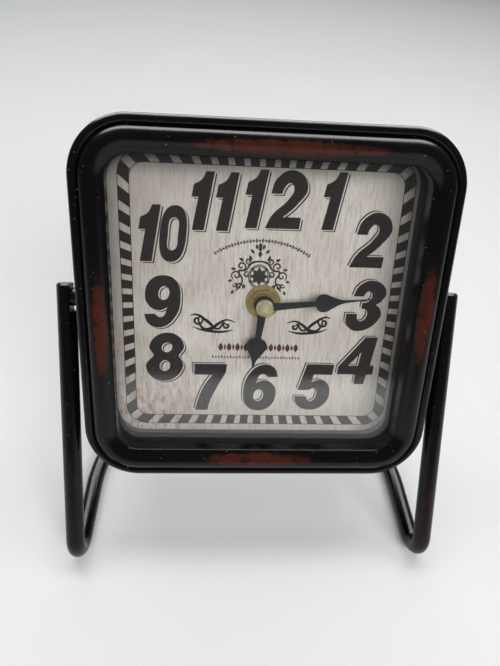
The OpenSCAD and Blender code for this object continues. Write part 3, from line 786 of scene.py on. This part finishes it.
def curl(x, y, size, start, turns, side, tail=()):
    """Points of a spiral that opens from its eye and runs out into a tail."""
    points = []
    steps = max(4, round(abs(turns) * 8))
    for i in range(steps + 1):
        t = i / steps
        angle = math.radians(start + 360 * turns * t)
        r = size * (0.18 + 0.82 * t)
        swell = 0.7 + 0.5 * math.sin(math.pi * t)
        points.append((x + side * r * math.cos(angle), y + r * math.sin(angle), swell))
    return points + list(tail)


def leaf(x, y, length, width, angle):
    """A small pointed leaf."""
    c, s = math.cos(math.radians(angle)), math.sin(math.radians(angle))
    belly = 0.45 * length
    ring = [(0, 0, True), (belly, width / 2, False), (length, 0, True), (belly, -width / 2, False)]
    turned = [(x + c * a - s * b, y + s * a + c * b, sharp) for a, b, sharp in ring]
    shape = flat_outline([turned], ink_low, 4)
    shape.data.transform(face_up)
    return shape


spray_x = -2.2
curl_w = 0.62
stem_w = 0.7
oval_w = 0.45
oval_y = 10.8
oval_slim = 0.86
petal_y = 11
# The right half of the spray: curls (x, y, size, start, turns), a stem (x, y, swell) and leaves
# (x, y, length, angle)
curls = ((7.6, 15.2, 2.1, 200, 1.2), (9.6, 11.2, 2.2, 40, -1.25), (5.2, 11.6, 1.4, 100, 1.1),
         (8.3, 6.4, 1.7, 160, 1.15), (4.6, 17.4, 1.3, 300, -1.1), (10.0, 7.2, 1.1, 0, 1))
stem = ((0, 17.5, 1), (3.4, 16.6, 1.4), (6, 13.4, 1), (8.4, 13.2, 1.3), (7, 9, 1), (9.5, 4.6, 1))
sprigs = ((3.2, 17.6, 2.4, 60), (6.6, 17.4, 2.2, 30), (9.8, 13.8, 2.0, 10), (11.3, 9.2, 1.7, -20),
          (10.6, 4.8, 1.8, -60), (6.4, 7.6, 1.9, -100), (3.8, 13.6, 1.8, 150), (2.4, 20.6, 2.2, 50),
          (1.2, 22.4, 2.0, 75), (4.6, 8.6, 1.6, 170))
strokes = []
leaves = []
for side in (-1, 1):
    for x, y, size, start, turns in curls:
        strokes.append(stroke(curl(spray_x + side * x, y, size, start, turns, side), curl_w))
    strokes.append(stroke([(spray_x + side * x, y, swell) for x, y, swell in stem], stem_w))
    for x, y, length, angle in sprigs:
        leaves.append(leaf(spray_x + side * x, y, length * 1.15, 1.25, angle if side > 0 else 180 - angle))
for y, length in ((19, 3.0), (21.4, 2.8), (23.2, 2.0)):
    leaves.append(leaf(spray_x, y, length, 1.7, 90))
for size in (5.1, 4.4):
    around = [math.radians(a) for a in range(0, 360, 30)]
    oval = [(spray_x + size * oval_slim * math.cos(a), oval_y + size * math.sin(a)) for a in around]
    strokes.append(stroke(oval, oval_w, cyclic=True))
for petal in range(8):
    leaves.append(leaf(spray_x, petal_y, 4.1, 2.0, 45 * petal))
dress(printed(join(leaves, "spray_leaves")), brown_ink, "case", "dial_paper")
dress(join(strokes, "spray_stems"), brown_ink, "case", "dial_paper")

arc_centre = Vector((-1.3, -10.3))
arc_r = 36.4
arc_half = 32.5
beads = []
for i in range(33):
    angle = math.radians(90 + arc_half * (1 - i / 16))
    spot = arc_centre + arc_r * Vector((math.cos(angle), math.sin(angle)))
    length, width = ((2.2, 1.0), (1.2, 1.3))[i % 2]
    beads.append(leaf(spot.x - 0.5 * length * math.cos(angle), spot.y - 0.5 * length * math.sin(angle),
                      length, width, math.degrees(angle)))
dress(printed(join(beads, "beaded_arc")), grey_ink, "case", "dial_paper")

pen = 0.85
# Pen lines on each side of the hands: points (x, y, swell), x growing away from the centre
flourish = []
for x, side in ((-20.2, -1), (19.4, 1)):
    flourish.append(stroke(curl(x + side * 7.6, -9.0, 2.4, 180, -1.15, side, [
        (x + side * 5.6, -12.4, 1.3), (x + side * 2.2, -12.9, 1.9), (x - side * 1.6, -10.2, 1.4),
        (x - side * 4.8, -8.6, 0.9), (x - side * 8.6, -9.6, 0.5)]), pen))
    flourish.append(stroke(curl(x - side * 4.9, -11.2, 1.5, 20, 1.1, side, [
        (x - side * 1.4, -12.8, 1.1), (x + side * 3.4, -9.4, 1.7), (x + side * 8.6, -6.4, 1.0),
        (x + side * 10.6, -6.9, 0.5)]), pen))
    flourish.append(stroke([
        (x - side * 7.6, -13.2, 0.4), (x - side * 3.4, -14.1, 1.2), (x + side * 1.2, -14.0, 1.5),
        (x + side * 6.6, -13.2, 0.9), (x + side * 9.6, -12.0, 0.4)], pen))
dress(join(flourish, "pen_flourishes"), black_ink, "case", "dial_paper")

red_left = -17.6
red_low = -23.2
red_step = 3.7
marks = []
for i in range(10):
    x = red_left + red_step * i
    marks.append(leaf(x, red_low, 4.1, 2.1, 90))
    if i < 9:
        marks.append(leaf(x + red_step / 2, red_low + 0.5, 3.1, 1.0, 90))
dress(printed(join(marks, "red_row")), red_ink, "case", "dial_paper")
grey_left = -21
grey_low = -26.6
grey_step = 1.32
marks = [leaf(grey_left + grey_step * i, grey_low, (1.6, 1.1, 1.3)[i % 3], 0.85, 90) for i in range(30)]
dress(printed(join(marks, "grey_row")), grey_ink, "case", "dial_paper")


# ---- The dial board and the back plate ----
# Hard fibreboard carries the card and the movement. The back plate is a black enamelled steel sheet
# with a square window round the movement, held by four crosshead screws.
fibreboard = board("fibreboard", (0.26, 0.15, 0.08), (0.17, 0.095, 0.05))
dress(refined("dial_board", "fibre_board", 0), fibreboard, "case", "fibreboard", "dial_board")
dress(refined("back_plate", "steel_back_plate", 0), plain_enamel, "case", "black_enamel", "back_plate")
dress(refined("back_screws", "crosshead_screws", 0.12), steel, "case", "plated_steel", "back_screws")


# ---- The movement ----
# A quartz movement in two black plastic halves. A worn brass bush and nut clamp it to the dial board,
# and inside are the coil, the stepping rotor, the train and the motion work.
black_plastic = plastic("black housing", (0.012, 0.012, 0.013), (0.020, 0.020, 0.021), 0.42)
brass = metal("lacquered brass", (0.66, 0.51, 0.20), (0.46, 0.34, 0.13), 0.36, shine=0.6)
dress(refined("movement_front", "housing_front", 0.3), black_plastic, "case", "movement_plastic",
      "movement_front")
dress(refined("movement_back", "housing_back", 0.4), black_plastic, "case", "movement_plastic",
      "movement_back")
dress(refined("threaded_bush", "brass_bush", 0.15), brass, "case", "brass", "threaded_bush")
dress(refined("dial_washer", "brass_washer", 0.22), brass, "case", "brass", "dial_washer")
dress(refined("dial_nut", "brass_nut", 0.4), brass, "case", "brass", "dial_nut")
dress(refined("train_plate", "inner_plate", 0.1), nylon, "case", "white_plastic", "train_plate")
dress(refined("centre_wheel", "brass_centre_wheel", 0), brass, "case", "brass", "centre_wheel")
for node in ("third_wheel", "step_wheel"):
    dress(refined(node, "moulded_" + node, 0), white_gear, "case", "white_plastic", node)
dress(refined("rotor", "magnet_rotor", 0), spring_steel, "case", "plated_steel", "rotor")
dress(refined("stator", "iron_stator", 0.06), spring_steel, "case", "plated_steel", "stator")


def winding():
    """Enamelled copper wire, side by side across the coil."""
    made = Finish("copper winding")
    turns = made.add("TexWave", {"wave_type": "BANDS", "bands_direction": "X"},
                     {"Vector": made.place(), "Scale": 1.4, "Distortion": 0.4, "Detail": 1.0})
    cloud = made.noise(made.place(), 0.4, 3)
    colour = made.blend(turns, (0.22, 0.07, 0.02), (0.62, 0.24, 0.09))
    return made.surface({"Base Color": colour, "Metallic": 0.7, "Roughness": 0.3 + cloud * 0.15,
                         "Normal": made.bump(turns, 0.1, 0.8)})


def circuit():
    """Green lacquered board with paler copper tracks under the lacquer."""
    made = Finish("circuit board")
    tracks = made.add("TexBrick", {"offset": 0.4},
                      {"Vector": made.on_face(), "Scale": 0.6, "Mortar Size": 0.05}, out=1)
    cloud = made.noise(made.place(), 0.5, 3)
    colour = made.blend(tracks, (0.018, 0.10, 0.04), (0.05, 0.22, 0.08))
    return made.surface({"Base Color": colour, "Roughness": 0.3 + cloud * 0.2,
                         "Normal": made.bump(tracks, 0.05, 0.6)})


dress(refined("coil", "wound_coil", 0.3), winding(), "case", "coil_wire", "coil")
dress(refined("circuit_board", "green_board", 0.06), circuit(), "case", "board_green", "circuit_board")
dress(refined("quartz_crystal", "crystal_can", 0.15), steel, "case", "plated_steel", "quartz_crystal")
dress(refined("battery_contacts", "contact_blades", 0.08), steel, "case", "plated_steel", "battery_contacts")
dress(refined("minute_arbor", "steel_arbor", 0), steel, "minute", "plated_steel", "minute_arbor")
dress(refined("hour_wheel", "moulded_hour_wheel", 0), white_gear, "hour", "white_plastic", "hour_wheel")
dress(refined("minute_wheel", "moulded_minute_wheel", 0), white_gear, "minute_wheel", "white_plastic",
      "minute_wheel")
dress(refined("setting_gear", "moulded_setting_gear", 0), white_gear, "setting_knob", "white_plastic",
      "setting_gear")
dress(refined("setting_knob", "ribbed_knob", 0.1), black_plastic, "setting_knob", "movement_plastic",
      "setting_knob")


# ---- The battery ----
# One AA cell: a crimped steel can in a printed film of two plain bands, with no words on it.
def cell_film():
    """Black and gold bands with a silver line between them, and the bare can at one end."""
    made = Finish("cell film")
    x = made.axes(made.place())[0]
    wear = made.noise(made.place((6, 2, 2)), 1, 3)
    gold = made.step(x, 9.4, 9.6)
    trim = made.step(x, 8.2, 8.4) - gold
    can = made.step(x, 25.4, 25.6)
    colour = made.blend(gold, (0.012, 0.012, 0.013), (0.62, 0.36, 0.10))
    colour = made.blend(trim, colour, (0.55, 0.55, 0.55))
    colour = made.blend(can, colour, (0.62, 0.62, 0.60))
    return made.surface({"Base Color": colour, "Metallic": 0.55 + can * 0.4, "Roughness": 0.28 + wear * 0.12,
                         "Normal": made.bump(wear, 0.03, 0.3)})


dress(refined("battery", "dry_cell", 0.5), cell_film(), "battery", "cell_label", "battery")


# ---- The hands ----
# Stamped aluminium spade hands in black lacquer: a shaft, a round disc and a long thin point.
# A domed brass nut on the arbor holds the minute hand, and the hour hand grips its pipe by friction.
minute_shown = 14
hour_shown = 6
minute_out = 8.6
hour_out = 5.2
minute_hub_r = 3.2
hour_hub_r = 4.05
hand_t = 0.5


def lacquer():
    """Black lacquer with a little dust in it."""
    made = Finish("black lacquer")
    dust = made.noise(made.place(), 1.2, 3, 0.6)
    cloud = made.noise(made.place(), 0.15, 2)
    return made.surface({"Base Color": made.blend(cloud, (0.008, 0.009, 0.010), (0.016, 0.017, 0.019)),
                         "Roughness": 0.38 + (dust - 0.5) * 0.2, "Normal": made.bump(dust, 0.02, 0.4)})


def spade(name, half, hub_r, height, degrees):
    """A hand from the right-hand half of its outline, thickened, softened and turned to its hour."""
    outline = [*half, *[(-x, y, sharp) for x, y, sharp in reversed(half)]]
    shape = flat_outline([outline], height, 12)
    bpy.ops.mesh.primitive_cylinder_add(vertices=64, radius=hub_r, depth=hand_t,
                                        location=(0, 0, height + hand_t / 2))
    hub = bpy.context.object
    hub.data.transform(hub.matrix_world)
    hub.matrix_world = Matrix.Identity(4)
    bpy.ops.object.select_all(action="DESELECT")
    bpy.context.view_layer.objects.active = shape
    shape.select_set(True)
    body = shape.modifiers.new("sheet", "SOLIDIFY")
    body.thickness = hand_t
    body.offset = 1
    bpy.ops.object.modifier_apply(modifier=body.name)
    union = shape.modifiers.new("hub", "BOOLEAN")
    union.operation = "UNION"
    union.object = hub
    bpy.ops.object.modifier_apply(modifier=union.name)
    bpy.data.objects.remove(hub)
    soft = shape.modifiers.new("edge", "BEVEL")
    soft.width = 0.1
    soft.segments = 2
    soft.angle_limit = math.radians(50)
    bpy.ops.object.modifier_apply(modifier=soft.name)
    return settle(name, face_up @ Matrix.Rotation(-math.radians(degrees), 4, "Z"))


black_lacquer = lacquer()
minute_half = corners((1.65, 0), (1.12, 21.2)) + \
    bends((3.3, 22.6), (3.85, 25.1), (2.5, 28.3), (0.95, 32), (0.42, 37)) + corners((0.2, 48.4))
hour_half = corners((1.9, 0), (1.35, 14.8)) + bends((3.7, 16.4), (4.3, 19), (3.0, 22.0), (1.1, 25.2)) + \
    corners((0.2, 28.9))
minute_angle = minute_shown * 6
hour_angle = hour_shown * 30 + minute_shown / 2
dress(spade("spade_minute_hand", minute_half, minute_hub_r, minute_out, minute_angle), black_lacquer,
      "minute", "black_hand", "minute_hand")
dress(spade("spade_hour_hand", hour_half, hour_hub_r, hour_out, hour_angle), black_lacquer,
      "hour", "black_hand", "hour_hand")
pale_brass = metal("polished brass", (0.95, 0.86, 0.56), (0.84, 0.70, 0.38), 0.3, shine=0.45)
cap_r = 3.6
cap_top = 13.3
cap_bore = 1.3
point_at(0, 0, cap_top)
swing(14, -90, (0, 0, cap_top - cap_r), (0, -1, 0))
pull(0, 0, minute_out + hand_t - cap_top + cap_r)
pull(cap_bore - cap_r, 0, 0)
bpy.ops.mesh.select_all(action="SELECT")
swing(48, 360, (0, 0, 0), (0, 0, 1))
close_up()
dress(settle("domed_nut", face_up), pale_brass, "minute", "brass", "cap_nut")


# ---- The studio ----
# A wide white table, soft lights above, behind and in front of the clock, and a hand-held camera
# close to it.
def pale_table():
    """A smooth white top with faint clouds in it."""
    made = Finish("white table")
    cloud = made.noise(made.place((120, 120, 120)), 1, 2)
    return made.surface({"Base Color": made.blend(cloud, (0.80, 0.805, 0.81), (0.84, 0.845, 0.85)),
                         "Roughness": 0.6 + cloud * 0.05, "Specular IOR Level": 0.08})


bpy.ops.object.select_all(action="DESELECT")
bpy.ops.mesh.primitive_plane_add(size=8, location=(0, 0, 0))
floor = bpy.context.object
floor.name = "table"
floor.data.materials.append(pale_table())


def soft_light(name, spot, aim, size, power):
    """A rectangle of light at one spot, in metres, that faces another."""
    lamp = bpy.data.lights.new(name, "AREA")
    lamp.shape = "RECTANGLE"
    lamp.size, lamp.size_y = size
    lamp.energy = power
    holder = bpy.data.objects.new(name, lamp)
    bpy.context.scene.collection.objects.link(holder)
    holder.location = spot
    holder.rotation_mode = "QUATERNION"
    holder.rotation_quaternion = (Vector(aim) - Vector(spot)).to_track_quat("-Z", "Y")
    return holder


soft_light("ceiling", (0.03, 0.3, 1.28), (0, 0.03, 0.1), (1.4, 0.36), 7.8)
window = soft_light("window", (0.3, -1.15, 0.95), (0, 0, 0.1), (1.2, 0.5), 18.5)
soft_light("far_wash", (0, 1.5, 1.1), (0, 1.0, 0), (2.2, 0.45), 6.5)
# The window fills the shadows but isn't mirrored, and the sheen is only mirrored
window.visible_glossy = False
sheen = soft_light("sheen", (0, 0.75, 1.1), (0, 0, 0.12), (2.0, 1.1), 65)
sheen.visible_diffuse = False

room_colour = (0.95, 0.97, 1.0, 1)
room_strength = 0.13
world = bpy.data.worlds.new("room")
world.use_nodes = True
background = world.node_tree.nodes["Background"]
background.inputs["Color"].default_value = room_colour
background.inputs["Strength"].default_value = room_strength
bpy.context.scene.world = world

camera_from_dial = Vector((-0.02078, -0.17321, 0.13657))
camera_degrees = (48.25, -3.565, -2.212)
camera_data = bpy.data.cameras.new("camera")
camera_data.sensor_fit = "HORIZONTAL"
camera_data.sensor_width = 36
camera_data.lens = 37.13
camera_data.clip_start = 0.01
camera = bpy.data.objects.new("camera", camera_data)
bpy.context.scene.collection.objects.link(camera)
camera.location = dial_centre + camera_from_dial
camera.rotation_euler = [math.radians(a) for a in camera_degrees]
bpy.context.scene.camera = camera
bpy.context.scene.view_settings.view_transform = "Standard"
